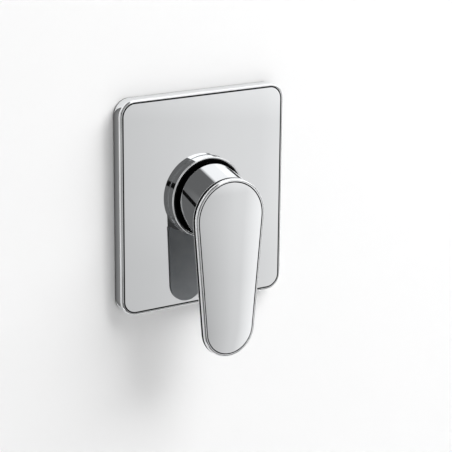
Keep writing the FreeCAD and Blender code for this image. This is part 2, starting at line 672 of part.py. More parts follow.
def make_lever_handle():
    """Zinc casting: hollow hub, teardrop blade with a hull-shaped back and a cored pocket."""
    slab = Part.Face(blade_outline(blade_band)).extrude(Vector(0, blade_face - blade_band, 0))
    slab = slab.makeFillet(BLADE_EDGE, edges_at(slab, blade_face))
    hull = Part.makeLoft([blade_outline(blade_band), back_outline(blade_back, 0)], True, True)
    hub = hub_loft(hub_rear, blade_band, 0)
    hub_skin = hub.makeFillet(HUB_EDGE, edges_at(hub, hub_rear))
    hollow = hub_loft(hub_rear + OVERCUT, blade_face + 2 * FACE_WALL, HUB_WALL)
    lever = slab.fuse(hull).fuse(hub_skin).cut(hollow)
    boss = tilted(y_cylinder(SOCKET_BOSS_RADIUS, blade_face + FACE_WALL, pivot_y - SOCKET_START))
    screw_boss = screw_cylinder(PLUG_RADIUS + SCREW_BOSS_WALL, 0, HUB_RADIUS + OVERCUT)
    lever = lever.fuse(boss.fuse(screw_boss).common(hub_skin))
    socket_half = SPINDLE_WIDTH / 2 + SNUG
    socket_front = pivot_y - SPINDLE_REACH - LOOSE
    lever = lever.cut(tilted(y_box(socket_half, socket_half, socket_front, pivot_y - SOCKET_START + OVERCUT)))
    lever = lever.cut(tilted(y_cylinder(SPINDLE_WIDTH, pivot_y - SOCKET_START, pivot_y)))
    lever = lever.cut(screw_cylinder(SCREW_RADIUS + SNUG, 0, HUB_RADIUS))
    plug_start = plug_end() - PLUG_LENGTH - LOOSE
    lever = lever.cut(screw_cylinder(PLUG_RADIUS, plug_start, HUB_RADIUS + 2 * HUB_WALL))
    lever = lever.cut(back_room(blade_back + OVERCUT, blade_back - BACK_COVER_DEPTH, BACK_RIM))
    pocket = back_room(blade_back, blade_face + FACE_WALL, BACK_RIM + POCKET_LEDGE)
    return lever.cut(pocket).removeSplitter()


def make_lever_back_cover():
    return back_room(blade_back, blade_back - BACK_COVER_DEPTH + FILM, BACK_RIM + SNUG)


def make_grub_screw():
    """Threaded pin with a hexagon socket in its lower end."""
    start = SPINDLE_WIDTH / 2 + FILM
    end = start + SCREW_LENGTH
    screw = screw_cylinder(SCREW_RADIUS, start, end)
    corner = SCREW_KEY / math.cos(math.radians(30))
    key_top = pivot_y - SCREW_DISTANCE
    points = []
    for step in range(6):
        turn = math.radians(60 * step)
        points.append(Vector(corner * math.cos(turn), key_top + corner * math.sin(turn), -end - OVERCUT))
    hexagon = Part.Face(Part.makePolygon(points + points[:1]))
    return screw.cut(tilted(hexagon.extrude(Vector(0, 0, SCREW_KEY_DEPTH + OVERCUT))))


def make_screw_plug():
    plug = screw_cylinder(PLUG_RADIUS - SNUG, plug_end() - PLUG_LENGTH, plug_end())
    lowest = min(plug.Edges, key=lambda edge: edge.CenterOfMass.z)
    return plug.makeFillet(PLUG_EDGE, [lowest])


NODES = {
    "face_plate": make_face_plate,
    "plate_o_ring": make_plate_o_ring,
    "plate_gasket": make_plate_gasket,
    "sleeve": make_sleeve,
    "cover_ring": make_cover_ring,
    "sleeve_o_rings": make_sleeve_o_rings,
    "valve_body": make_valve_body,
    "cartridge_nut": make_cartridge_nut,
    "slip_washer": make_slip_washer,
    "cartridge_housing": make_cartridge_housing,
    "cartridge_base": make_cartridge_base,
    "base_seals": make_base_seals,
    "disc_seals": make_disc_seals,
    "fixed_disc": make_fixed_disc,
    "moving_disc": make_moving_disc,
    "disc_carrier": make_disc_carrier,
    "limit_ring": make_limit_ring,
    "turret": make_turret,
    "turret_o_ring": make_turret_o_ring,
    "turret_washer": make_turret_washer,
    "pivot_pin": make_pivot_pin,
    "spindle": make_spindle,
    "lever_handle": make_lever_handle,
    "lever_back_cover": make_lever_back_cover,
    "grub_screw": make_grub_screw,
    "screw_plug": make_screw_plug,
}


def main():
    os.makedirs("parts", exist_ok=True)
    for name, make in NODES.items():
        shape = make()
        print(name, len(shape.Solids), round(shape.Volume, 1), shape.isValid())
        shape.exportStep(os.path.join("parts", name + ".step"))


main()
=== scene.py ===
import json
import math

import bmesh
import bpy
from mathutils import Matrix, Vector


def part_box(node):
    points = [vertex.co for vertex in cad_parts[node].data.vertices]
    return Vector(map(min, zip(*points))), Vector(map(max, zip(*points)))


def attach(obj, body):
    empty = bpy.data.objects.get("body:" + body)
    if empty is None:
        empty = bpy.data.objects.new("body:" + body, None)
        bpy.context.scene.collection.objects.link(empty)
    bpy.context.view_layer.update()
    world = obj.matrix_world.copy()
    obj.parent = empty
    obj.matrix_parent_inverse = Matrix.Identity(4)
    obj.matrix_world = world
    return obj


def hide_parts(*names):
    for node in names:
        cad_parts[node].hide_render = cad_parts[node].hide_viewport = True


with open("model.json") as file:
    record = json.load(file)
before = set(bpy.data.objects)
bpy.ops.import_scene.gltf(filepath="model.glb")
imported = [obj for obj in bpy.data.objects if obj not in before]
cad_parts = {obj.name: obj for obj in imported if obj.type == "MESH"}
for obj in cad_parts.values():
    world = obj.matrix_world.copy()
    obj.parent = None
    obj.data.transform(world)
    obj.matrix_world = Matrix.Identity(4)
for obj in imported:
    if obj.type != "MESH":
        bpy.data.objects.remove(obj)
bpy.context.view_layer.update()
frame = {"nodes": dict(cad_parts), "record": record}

# Looks of a concealed single-lever shower mixer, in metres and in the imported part's frame.
# The lever turns about the Y axis, the finished wall is the plane y = 0 and the user is at -Y.

nodes = frame["nodes"]
scene = bpy.context.scene
MM = 0.001

# Plate and sleeve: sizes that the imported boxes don't give
PLATE_WALL = 1.8 * MM
PLATE_CORNER = 11.0 * MM
PLATE_EDGE = 1.7 * MM
PLATE_GAP = 0.12 * MM           # round the sleeve
PLATE_FOOT = 1.2 * MM           # edge of the seal that shows between rim and wall
PLATE_JOINT = (1.75 * MM, 2.75 * MM)     # insets of the dark joint between edge and face
PLATE_HOLE_EDGE = 0.25 * MM
COLLAR_WALL = 5.0 * MM
COLLAR_LENGTH = 4.8 * MM
SLEEVE_WALL = 1.7 * MM
SLEEVE_EDGE = 0.6 * MM
SLEEVE_INNER_EDGE = 0.9 * MM
JOINT_DEPTH = 0.6 * MM
JOINT_SETBACK = 0.1 * MM

# Lever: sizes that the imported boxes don't give
HUB_RADIUS = 23.8 * MM
HUB_FRONT_RADIUS = 25.2 * MM
HUB_WALL = 2.2 * MM
HUB_EDGE = 1.5 * MM
HUB_FLOOR = 6.8 * MM            # from the blade's face to the floor of the hub's hollow
BLADE_EDGE = 1.6 * MM
BLADE_JOINT = (1.9 * MM, 2.7 * MM)     # insets of the dark joint between edge and face
BLADE_BAND = 2.9 * MM           # from the face to where the hull starts in the solid
BLADE_SKIRT = 2.2 * MM          # straight side behind the band's end
BLADE_CROWN = 0.75 * MM         # how far the middle of the blade stands in front of its edges
BLADE_TIP_RADIUS = 19.7 * MM
BLADE_TOP_DROP = 7.3 * MM
PARTING_BEHIND = 1.9 * MM       # reach of the dark groove in the side behind the band's end
PARTING_AHEAD = 0.5 * MM        # its reach in front of the band's end
HULL_DEPTH = 10.7 * MM
BACK_TOP_RADIUS = 16.8 * MM
BACK_TOP_DROP = 5.2 * MM
BACK_TIP_RADIUS = 14.2 * MM
BACK_TIP_DROP = 66.9 * MM
BACK_RIM = 1.3 * MM
COVER_DEPTH = 2.0 * MM
COVER_HUB_GAP = 0.8 * MM
CUT_CLEAR = 1.0 * MM            # how far a cutter stands out of the face that it cuts
PIVOT_Y = -14.0 * MM
CLOSED_TILT = math.radians(12.5)
SOCKET_RADIUS = 8.5 * MM
SOCKET_BORE = 5.7 * MM
SOCKET_EDGE = 1.0 * MM
SOCKET_START = 6.5 * MM         # from the pivot forward to the socket's rear
SCREW_DISTANCE = 15.3 * MM      # from the pivot forward to the plug
PLUG_RADIUS = 3.2 * MM
PLUG_HOLE_SPAN = (0.6 * HUB_RADIUS, 1.4 * HUB_RADIUS)     # below the axis, through the hub's wall

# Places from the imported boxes
PLATE_LOW, PLATE_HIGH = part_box("face_plate")
SLEEVE_LOW, SLEEVE_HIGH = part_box("sleeve")
LEVER_LOW, LEVER_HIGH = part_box("lever_handle")
PLATE_FACE = PLATE_LOW.y
BLADE_FACE = LEVER_LOW.y
BLADE_SHOULDER = BLADE_FACE + BLADE_CROWN
BAND_END = BLADE_FACE + BLADE_BAND
BLADE_BACK = BAND_END + HULL_DEPTH
PARTING_BACK = BAND_END + PARTING_BEHIND
PARTING_FRONT = BAND_END - PARTING_AHEAD
HUB_REAR = LEVER_HIGH.y

# Steps of the rebuilt meshes
ROUND_STEPS = 160
CORNER_STEPS = 18
SIDE_STEPS = 56
EDGE_STEPS = 12
SMALL_EDGE_STEPS = 4
HULL_STEPS = 8
CROWN_STEPS = 24
HUB_STEPS = 10
PLUG_HOLE_STEPS = 48
CREASE = math.radians(32)

# Finishes: the range of noise that is used, and the plastics' roughness, grain height, tone and gloss
NOISE_LOW = 0.3
NOISE_HIGH = 0.7
PLASTICS = {
    "cover_plastic": {"low": 0.32, "high": 0.46, "grain": 0.012 * MM, "tone": 1.7},
    "black_plastic": {"low": 0.5, "high": 0.62, "grain": 0.012 * MM, "tone": 0.35, "gloss": 0.04},
    "housing_plastic": {"low": 0.3, "high": 0.45, "grain": 0.01 * MM},
    "white_plastic": {"low": 0.32, "high": 0.46, "grain": 0.01 * MM},
    "red_plastic": {"low": 0.22, "high": 0.34, "grain": 0.008 * MM},
    "plug_plastic": {"low": 0.16, "high": 0.26, "grain": 0.006 * MM},
}

# Nodes that mirrors don't show: the photograph's plate mirrors only the dark back of the lever
NOT_MIRRORED = ("lever_handle", "spindle", "grub_screw", "screw_plug")

# The camera, found from the plate's four sides in the photograph
CAMERA_PLACE = Vector((-0.558669, -0.920319, 0.297027))
CAMERA_AZIMUTH = math.radians(32.311)
CAMERA_ELEVATION = math.radians(16.578)
CAMERA_ROLL = math.radians(0.497)
CAMERA_LENS = 133.56
CAMERA_SENSOR = 36

# Room
WALL_PLACE = 0.2 * MM           # clear of the plate's rim
WALL_HALF_WIDTH = 3.0
WALL_TOP = 2.0
WALL_COLOUR = (0.9, 0.9, 0.9)
WALL_LIFT = 0.03
OPENING_MARGIN = 3 * MM         # round the valve body
FLOOR_LEVEL = -1.5
FLOOR_REACH = 4.0
FLOOR_COLOUR = (0.86, 0.86, 0.86)
FLOOR_LIFT = 0.45
AMBIENT = 0.36
BACKDROP = 1.0

# Painted shade close to the object, which only mirrors show: a dark strip on the wall beside the plate and a
# dark reflection inside the hub
WALL_SHADE_NEAR = 0.5 * MM       # both from the plate's left side
WALL_SHADE_FAR = 6 * MM
WALL_SHADE_DROP = 4 * MM         # below the plate
WALL_SHADE_NEAR_GLOW = 0.13
WALL_SHADE_FAR_GLOW = 0.36
# Painted dark reflection: a dark sheet in the hub that mirrors show in place of the hub
HUB_REFLECTION_RADIUS = 14.7 * MM
HUB_REFLECTION_DROP = 24.6 * MM
HUB_REFLECTION_GLOW = 0.04

# Cards on spheres round the object, which only mirrors show. Each has azimuths with strengths, elevations
# with factors for them, and a distance. Azimuth 0 is in front of the plate and grows towards +X, in degrees.
CARD_STEPS = 12
FACE_RISE = ((-20, 0.95), (-16.5, 1.01), (-13, 1.02), (-10.5, 1.02), (-8.5, 1.17), (-7, 1.25), (-2, 1.4))
FACE_SWEEP = ((20, 0.53), (24, 0.61), (28, 0.68), (32, 0.76), (35, 0.79), (38, 0.94), (42, 1.12), (50, 1.15))
CARDS = {
    "card_face": (FACE_SWEEP, ((-34, 0.9), *FACE_RISE), 1.2),
    "card_left": (((14, 0.42), (20, 0.53)), ((-26, 0.93), *FACE_RISE), 1.2),
    "card_side": (((-16, 0.6), (1, 0.62)), ((-20, 1), (-11, 1)), 1.3),
    "softbox": (((4, 0.3), (14, 1.22), (110, 1.22)), ((36, 1), (78, 1)), 1.5),
    "softbox_low": (((18, 0.8), (38, 0.8), (43, 1.4), (110, 1.45)), ((11, 0.9), (36, 1)), 1.5),
    "softbox_band": (((14, 1.4), (27, 1.4), (34, 0.8)), ((19, 1), (36, 1)), 1.48),
    "softbox_band_low": (((18, 1.4), (35, 1.4), (42, 0.8)), ((5, 1), (19, 1)), 1.47),
    "flag_face": (((9, 0.05), (66, 0.05)), ((-36, 1), (11, 1)), 1.7),
    "flag_low": (((-10, 0.1), (66, 0.1)), ((-52, 1), (-33, 1)), 1.25),
    "flag_left": (((-62, 0.85), (-50, 0.6), (-41, 0.15), (-8, 0.15)), ((-46, 1), (75, 1)), 1.8),
    "flag_over": (((-12, 0.15), (20, 0.16)), ((22, 1), (75, 1)), 1.8),
    "flag_under": (((-12, 0.15), (9, 0.16)), ((-52, 1), (-22, 1)), 1.8),
    "flag_line": (((-50, 0.005), (-28, 0.005)), ((6, 1), (14, 1)), 1.6),
    "card_front": (((-8, 0.35), (9, 0.8)), ((-22, 0.9), (22, 1.15)), 1.6),
    "card_right": (((66, 0.3), (80, 0.7), (95, 0.45)), ((-52, 0.7), (-10, 1), (11, 1)), 1.9),
    "card_far_left": (((-95, 0.45), (-80, 0.7), (-62, 0.8)), ((-52, 0.7), (40, 1)), 1.9),
    "card_below": (((-85, 0.6), (0, 0.75), (85, 0.6)), ((-85, 1.1), (-52, 0.8)), 1.4),
}


def smooth(piece):
    """Smooth shading with creases, weighted by face area so that flat faces stay flat."""
    piece.data.shade_smooth()
    piece.data.set_sharp_from_angle(angle=CREASE)
    weighted = piece.modifiers.new("weighted_normals", "WEIGHTED_NORMAL")
    weighted.keep_sharp = True


def add_object(name, points, faces):
    """Object from points and faces, with its normals turned outwards."""
    mesh = bpy.data.meshes.new(name)
    mesh.from_pydata(points, [], faces)
    shape = bmesh.new()
    shape.from_mesh(mesh)
    bmesh.ops.recalc_face_normals(shape, faces=shape.faces)
    shape.to_mesh(mesh)
    shape.free()
    made = bpy.data.objects.new(name, mesh)
    scene.collection.objects.link(made)
    return made


def loft(name, rings, joined=False):
    """Skin over rings of equal length, closed at its ends or joined end to start."""
    count = len(rings[0])
    points = [point for ring in rings for point in ring]
    faces = []
    for level in range(len(rings) if joined else len(rings) - 1):
        here = level * count
        there = (level + 1) % len(rings) * count
        for place in range(count):
            after = (place + 1) % count
            faces.append((here + place, here + after, there + after, there + place))
    if not joined:
        faces.append(tuple(range(count)))
        faces.append(tuple(range(len(points) - count, len(points))))
    return add_object(name, points, faces)


def carve(piece, cutter):
    """Cuts a closed object out of a piece and removes the cutter."""
    cut = piece.modifiers.new("cut", "BOOLEAN")
    cut.operation = "DIFFERENCE"
    cut.solver = "EXACT"
    cut.object = cutter
    shown = piece.evaluated_get(bpy.context.evaluated_depsgraph_get())
    carved = bpy.data.meshes.new_from_object(shown)
    piece.modifiers.clear()
    piece.data = carved
    bpy.data.objects.remove(cutter)


def quarter(steps):
    """Sines and cosines from 0 to 90 degrees."""
    turns = [math.pi / 2 * step / steps for step in range(steps + 1)]
    return [(math.sin(turn), math.cos(turn)) for turn in turns]


def circle(radius, y, centre_z=0.0, steps=ROUND_STEPS):
    """Ring round the Y axis, or round a line below or above it."""
    turns = [2 * math.pi * step / steps for step in range(steps)]
    return [Vector((radius * math.cos(turn), y, centre_z + radius * math.sin(turn))) for turn in turns]


def tilted(points):
    """Points turned down about the lever's pivot to the closed position."""
    turn = Matrix.Rotation(CLOSED_TILT, 4, "X")
    pivot = Vector((0, PIVOT_Y, 0))
    return [pivot + turn @ (point - pivot) for point in points]


def plate_ring(inset, y):
    """Rounded rectangle inside the plate's outline."""
    corner = PLATE_CORNER - inset
    right, top = PLATE_HIGH.x - inset - corner, PLATE_HIGH.z - inset - corner
    left, bottom = PLATE_LOW.x + inset + corner, PLATE_LOW.z + inset + corner
    ring = []
    centres = ((right, top), (left, top), (left, bottom), (right, bottom))
    for place, (x, z) in enumerate(centres):
        for step in range(CORNER_STEPS + 1):
            turn = math.pi / 2 * (place + step / CORNER_STEPS)
            ring.append(Vector((x + corner * math.cos(turn), y, z + corner * math.sin(turn))))
        end = math.pi / 2 * (place + 1)
        next_x, next_z = centres[(place + 1) % len(centres)]
        start = ring[-1]
        finish = Vector((next_x + corner * math.cos(end), y, next_z + corner * math.sin(end)))
        ring += [start.lerp(finish, step / SIDE_STEPS) for step in range(1, SIDE_STEPS)]
    return ring


def plate_circle(radius, y):
    """Circle round the sleeve with a point for each point of the plate's rings."""
    turns = [math.atan2(point.z, point.x) for point in plate_ring(0, y)]
    return [Vector((radius * math.cos(turn), y, radius * math.sin(turn))) for turn in turns]


def joint_rings(ring_at, insets, face):
    """Walls and floor of the groove for a dark joint."""
    return [ring_at(insets[0], face), ring_at(insets[0], face + JOINT_DEPTH),
            ring_at(insets[1], face + JOINT_DEPTH), ring_at(insets[1], face)]


def make_joint(name, ring_at, insets, face):
    """Dark filler with a rounded top, set a little below the groove's lips."""
    middle = (insets[0] + insets[1]) / 2
    top = face + JOINT_SETBACK
    return loft(name, [ring_at(insets[0], top + JOINT_SETBACK), ring_at(middle, top),
                       ring_at(insets[1], top + JOINT_SETBACK), ring_at(insets[1], face + JOINT_DEPTH),
                       ring_at(insets[0], face + JOINT_DEPTH)], joined=True)


def make_face_plate():
    """Hollow plate: rim, rounded edge, joint, face, hole with its collar, and the inside."""
    hole = SLEEVE_HIGH.x + PLATE_GAP
    inside = PLATE_FACE + PLATE_WALL
    collar_back = inside + COLLAR_LENGTH
    rings = [plate_ring(JOINT_DEPTH, 0), plate_ring(JOINT_DEPTH, -PLATE_FOOT), plate_ring(0, -PLATE_FOOT)]
    for sine, cosine in quarter(EDGE_STEPS):
        rings.append(plate_ring(PLATE_EDGE * (1 - cosine), PLATE_FACE + PLATE_EDGE * (1 - sine)))
    rings += joint_rings(plate_ring, PLATE_JOINT, PLATE_FACE)
    for sine, cosine in quarter(SMALL_EDGE_STEPS):
        rings.append(plate_circle(hole + PLATE_HOLE_EDGE * (1 - sine),
                                  PLATE_FACE + PLATE_HOLE_EDGE * (1 - cosine)))
    rings.append(plate_circle(hole, collar_back))
    rings.append(plate_circle(hole + COLLAR_WALL, collar_back))
    rings.append(plate_circle(hole + COLLAR_WALL, inside))
    rings.append(plate_ring(PLATE_WALL, inside))
    rings.append(plate_ring(PLATE_WALL, 0))
    return loft("face_plate_chrome", rings, joined=True)


def make_foot():
    """Rounded edge of the seal between the plate's rim and the wall."""
    front = -PLATE_FOOT
    return loft("plate_foot", [plate_ring(2 * JOINT_SETBACK, 0), plate_ring(JOINT_SETBACK, front / 2),
                               plate_ring(2 * JOINT_SETBACK, front), plate_ring(JOINT_DEPTH, front),
                               plate_ring(JOINT_DEPTH, 0)], joined=True)


def make_sleeve():
    """Tube with both edges of its front rim rounded."""
    outer, bore = SLEEVE_HIGH.x, SLEEVE_HIGH.x - SLEEVE_WALL
    front, rear = SLEEVE_LOW.y, SLEEVE_HIGH.y
    rings = [circle(bore, rear), circle(outer, rear)]
    for sine, cosine in quarter(EDGE_STEPS):
        rings.append(circle(outer - SLEEVE_EDGE * (1 - cosine), front + SLEEVE_EDGE * (1 - sine)))
    for sine, cosine in quarter(EDGE_STEPS):
        rings.append(circle(bore + SLEEVE_INNER_EDGE * (1 - sine), front + SLEEVE_INNER_EDGE * (1 - cosine)))
    return loft("sleeve_chrome", rings, joined=True)


def teardrop(y, top_radius, top_drop, tip_radius, tip_drop):
    """Ring round two circles and their outer tangents."""
    lean = math.asin((top_radius - tip_radius) / (tip_drop - top_drop))
    ring = []
    for radius, drop, start, end in ((top_radius, top_drop, -lean, math.pi + lean),
                                     (tip_radius, tip_drop, math.pi + lean, 2 * math.pi - lean)):
        for step in range(2 * CORNER_STEPS + 1):
            turn = start + (end - start) * step / (2 * CORNER_STEPS)
            ring.append(Vector((radius * math.cos(turn), y, -drop + radius * math.sin(turn))))
    half = len(ring) // 2
    right = [ring[-1].lerp(ring[0], step / SIDE_STEPS) for step in range(1, SIDE_STEPS)]
    left = [ring[half - 1].lerp(ring[half], step / SIDE_STEPS) for step in range(1, SIDE_STEPS)]
    return ring[:half] + left + ring[half:] + right


def blade_ring(inset, y, share=1.0):
    """Outline of the blade, moved inwards and then shrunk towards its middle line."""
    tip_drop = -LEVER_LOW.z - BLADE_TIP_RADIUS
    return teardrop(y, (LEVER_HIGH.x - inset) * share, BLADE_TOP_DROP,
                    (BLADE_TIP_RADIUS - inset) * share, tip_drop)


def back_ring(y, inset):
    """Outline of the blade's back, moved inwards."""
    return teardrop(y, BACK_TOP_RADIUS - inset, BACK_TOP_DROP, BACK_TIP_RADIUS - inset, BACK_TIP_DROP)


def make_cover_recess():
    """Cutter for the back cover's room: the blade's back outline below an arc round the hub."""
    hub_radius, hub_z = hub_section(BLADE_BACK)
    clear = hub_radius + COVER_HUB_GAP
    centre = Vector((0, BLADE_BACK, hub_z))
    ring = [point for point in back_ring(BLADE_BACK, BACK_RIM) if (point - centre).length > clear]
    reach = math.acos(ring[-1].x / clear)
    turns = [-reach - (math.pi - 2 * reach) * step / CORNER_STEPS for step in range(1, CORNER_STEPS)]
    ring += [centre + clear * Vector((math.cos(turn), 0, math.sin(turn))) for turn in turns]
    outside, floor = Vector((0, CUT_CLEAR, 0)), Vector((0, -COVER_DEPTH, 0))
    return loft("cover_recess", [[point + outside for point in ring], [point + floor for point in ring]])


def parting_rings():
    """Groove in the blade's side between the front shell and the hull, from back to front."""
    return [blade_ring(0, PARTING_BACK), blade_ring(JOINT_DEPTH, PARTING_BACK),
            blade_ring(JOINT_DEPTH, PARTING_FRONT), blade_ring(0, PARTING_FRONT)]


def make_parting():
    """Dark filler of the parting groove."""
    middle = (PARTING_BACK + PARTING_FRONT) / 2
    return loft("blade_parting", [blade_ring(2 * JOINT_SETBACK, PARTING_BACK),
                                  blade_ring(JOINT_SETBACK, middle),
                                  blade_ring(2 * JOINT_SETBACK, PARTING_FRONT),
                                  blade_ring(JOINT_DEPTH, PARTING_FRONT),
                                  blade_ring(JOINT_DEPTH, PARTING_BACK)], joined=True)


def make_blade():
    """Teardrop blade: hull-shaped back with the cover's recess, parting, rounded edge and crowned face."""
    hull_start, hull_end = blade_ring(0, BAND_END + BLADE_SKIRT), back_ring(BLADE_BACK, 0)
    rings = []
    for step in range(HULL_STEPS + 1):
        rings.append([start.lerp(end, 1 - step / HULL_STEPS) for start, end in zip(hull_start, hull_end)])
    rings += parting_rings()
    for sine, cosine in quarter(EDGE_STEPS):
        rings.append(blade_ring(BLADE_EDGE * (1 - cosine), BLADE_SHOULDER + BLADE_EDGE * (1 - sine)))
    rings += joint_rings(blade_ring, BLADE_JOINT, BLADE_SHOULDER)
    for step in range(1, CROWN_STEPS):
        share = 1 - step / CROWN_STEPS
        rings.append(blade_ring(BLADE_JOINT[1], BLADE_FACE + BLADE_CROWN * share * share, share))
    blade = loft("lever_blade", rings)
    carve(blade, make_cover_recess())
    return blade


def hub_section(y):
    """Radius and centre height of the oblique hub at y."""
    share = (y - HUB_REAR) / (BAND_END - HUB_REAR)
    return HUB_RADIUS + share * (HUB_FRONT_RADIUS - HUB_RADIUS), -share * BLADE_TOP_DROP


def hub_ring(y, inset):
    """Circle inside the hub's outline at y."""
    radius, centre_z = hub_section(y)
    return circle(radius - inset, y, centre_z)


def make_plug_hole():
    """Cutter for the hole of the screw's plug in the hub's underside."""
    screw_y = PIVOT_Y - SCREW_DISTANCE
    rings = []
    for depth in PLUG_HOLE_SPAN:
        flat = circle(PLUG_RADIUS, 0, steps=PLUG_HOLE_STEPS)
        rings.append(tilted([Vector((point.x, screw_y + point.z, -depth)) for point in flat]))
    return loft("plug_hole", rings)


def make_hub():
    """Oblique tube between sleeve and blade, open at the rear, with the hole for the plug."""
    front = BAND_END - JOINT_DEPTH
    rim = HUB_REAR - HUB_EDGE
    rings = [hub_ring(front + (rim - front) * step / HUB_STEPS, 0) for step in range(HUB_STEPS + 1)]
    for sine, cosine in quarter(EDGE_STEPS):
        rings.append(hub_ring(rim + HUB_EDGE * sine, HUB_EDGE * (1 - cosine)))
    rings.append(hub_ring(HUB_REAR, HUB_WALL))
    rings.append(hub_ring(BLADE_FACE + HUB_FLOOR, HUB_WALL))
    hub = loft("lever_hub", rings)
    carve(hub, make_plug_hole())
    return hub


def make_socket():
    """Boss in the hub's hollow that grips the spindle."""
    front = BLADE_FACE + HUB_FLOOR
    rear = PIVOT_Y - SOCKET_START
    rings = [circle(SOCKET_BORE, front), circle(SOCKET_RADIUS, front)]
    for sine, cosine in quarter(SMALL_EDGE_STEPS):
        rings.append(circle(SOCKET_RADIUS - SOCKET_EDGE * (1 - cosine), rear - SOCKET_EDGE * (1 - sine)))
    rings.append(circle(SOCKET_BORE, rear))
    return loft("lever_socket", [tilted(ring) for ring in rings], joined=True)


def new_finish(slot):
    """Material in the record's colour for a slot; returns it with its shader."""
    colour = next(entry["base_color"] for entry in frame["record"]["materials"] if entry["slot"] == slot)
    finish = bpy.data.materials.new(slot)
    finish.use_nodes = True
    shader = finish.node_tree.nodes["Principled BSDF"]
    shader.inputs["Base Color"].default_value = (*colour, 1)
    return finish, shader


def add_noise(finish, scale, detail=3.0, stretch=(1, 1, 1)):
    """Noise over the object's own coordinates, in cells per metre."""
    tree = finish.node_tree
    place = tree.nodes.new("ShaderNodeTexCoord")
    mapping = tree.nodes.new("ShaderNodeMapping")
    mapping.inputs["Scale"].default_value = stretch
    noise = tree.nodes.new("ShaderNodeTexNoise")
    noise.inputs["Scale"].default_value = scale
    noise.inputs["Detail"].default_value = detail
    tree.links.new(place.outputs["Object"], mapping.inputs["Vector"])
    tree.links.new(mapping.outputs["Vector"], noise.inputs["Vector"])
    return noise.outputs["Fac"]


def vary_roughness(finish, shader, noise, low, high):
    """Spreads the roughness between two values."""
    spread = finish.node_tree.nodes.new("ShaderNodeMapRange")
    spread.inputs["From Min"].default_value = NOISE_LOW
    spread.inputs["From Max"].default_value = NOISE_HIGH
    spread.inputs["To Min"].default_value = low
    spread.inputs["To Max"].default_value = high
    finish.node_tree.links.new(noise, spread.inputs["Value"])
    finish.node_tree.links.new(spread.outputs["Result"], shader.inputs["Roughness"])


def vary_colour(finish, shader, noise, darker, lighter):
    """Blends between darker and lighter multiples of the slot's colour."""
    base = shader.inputs["Base Color"].default_value
    ramp = finish.node_tree.nodes.new("ShaderNodeValToRGB")
    ramp.color_ramp.elements[0].position = NOISE_LOW
    ramp.color_ramp.elements[1].position = NOISE_HIGH
    for element, factor in zip(ramp.color_ramp.elements, (darker, lighter)):
        element.color = (*[min(1.0, channel * factor) for channel in base[:3]], 1)
    finish.node_tree.links.new(noise, ramp.inputs["Fac"])
    finish.node_tree.links.new(ramp.outputs["Color"], shader.inputs["Base Color"])


def add_bump(finish, shader, noise, height):
    """Relief of a given height in metres."""
    bump = finish.node_tree.nodes.new("ShaderNodeBump")
    bump.inputs["Strength"].default_value = 1.0
    bump.inputs["Distance"].default_value = height
    finish.node_tree.links.new(noise, bump.inputs["Height"])
    finish.node_tree.links.new(bump.outputs["Normal"], shader.inputs["Normal"])


def make_chrome():
    """Mirror plating with faint wiping haze."""
    finish, shader = new_finish("chrome")
    shader.inputs["Metallic"].default_value = 1.0
    haze = add_noise(finish, scale=90, stretch=(1, 1, 0.35))
    vary_roughness(finish, shader, haze, low=0.02, high=0.05)
    vary_colour(finish, shader, add_noise(finish, scale=25), darker=0.985, lighter=1.0)
    return finish


def make_brass():
    """Sand-cast brass with a dull skin and brighter worn patches."""
    finish, shader = new_finish("brass")
    shader.inputs["Metallic"].default_value = 1.0
    vary_roughness(finish, shader, add_noise(finish, scale=140), low=0.28, high=0.48)
    vary_colour(finish, shader, add_noise(finish, scale=60, detail=6), darker=0.72, lighter=1.05)
    add_bump(finish, shader, add_noise(finish, scale=1400, detail=4), height=0.06 * MM)
    return finish


def make_steel():
    """Turned steel with fine rings."""
    finish, shader = new_finish("steel")
    shader.inputs["Metallic"].default_value = 1.0
    rings = add_noise(finish, scale=900, stretch=(1, 6, 6))
    vary_roughness(finish, shader, rings, low=0.18, high=0.34)
    vary_colour(finish, shader, add_noise(finish, scale=300), darker=0.9, lighter=1.03)
    return finish


def make_plastic(slot, low, high, grain, tone=1.0, gloss=0.5):
    """Moulded plastic with a fine eroded grain."""
    finish, shader = new_finish(slot)
    shader.inputs["Specular IOR Level"].default_value = gloss
    vary_roughness(finish, shader, add_noise(finish, scale=220), low, high)
    vary_colour(finish, shader, add_noise(finish, scale=120), darker=0.93 * tone, lighter=1.05 * tone)
    add_bump(finish, shader, add_noise(finish, scale=3200, detail=2), height=grain)
    return finish


def make_rubber():
    """Moulded rubber with a dusty bloom."""
    finish, shader = new_finish("rubber")
    shader.inputs["Specular IOR Level"].default_value = 0.35
    vary_roughness(finish, shader, add_noise(finish, scale=400), low=0.55, high=0.8)
    vary_colour(finish, shader, add_noise(finish, scale=260, detail=5), darker=0.7, lighter=1.8)
    add_bump(finish, shader, add_noise(finish, scale=2600), height=0.02 * MM)
    return finish


def make_foam():
    """Closed-cell foam: small round cells in the cut faces."""
    finish, shader = new_finish("foam")
    shader.inputs["Roughness"].default_value = 0.92
    tree = finish.node_tree
    place = tree.nodes.new("ShaderNodeTexCoord")
    cells = tree.nodes.new("ShaderNodeTexVoronoi")
    cells.inputs["Scale"].default_value = 1500
    tree.links.new(place.outputs["Object"], cells.inputs["Vector"])
    vary_colour(finish, shader, cells.outputs["Distance"], darker=0.6, lighter=1.5)
    add_bump(finish, shader, cells.outputs["Distance"], height=0.25 * MM)
    return finish


def make_ceramic():
    """Lapped ceramic with faint clouding."""
    finish, shader = new_finish("ceramic")
    shader.inputs["Coat Weight"].default_value = 0.2
    vary_roughness(finish, shader, add_noise(finish, scale=180), low=0.12, high=0.24)
    vary_colour(finish, shader, add_noise(finish, scale=90, detail=5), darker=0.95, lighter=1.02)
    return finish


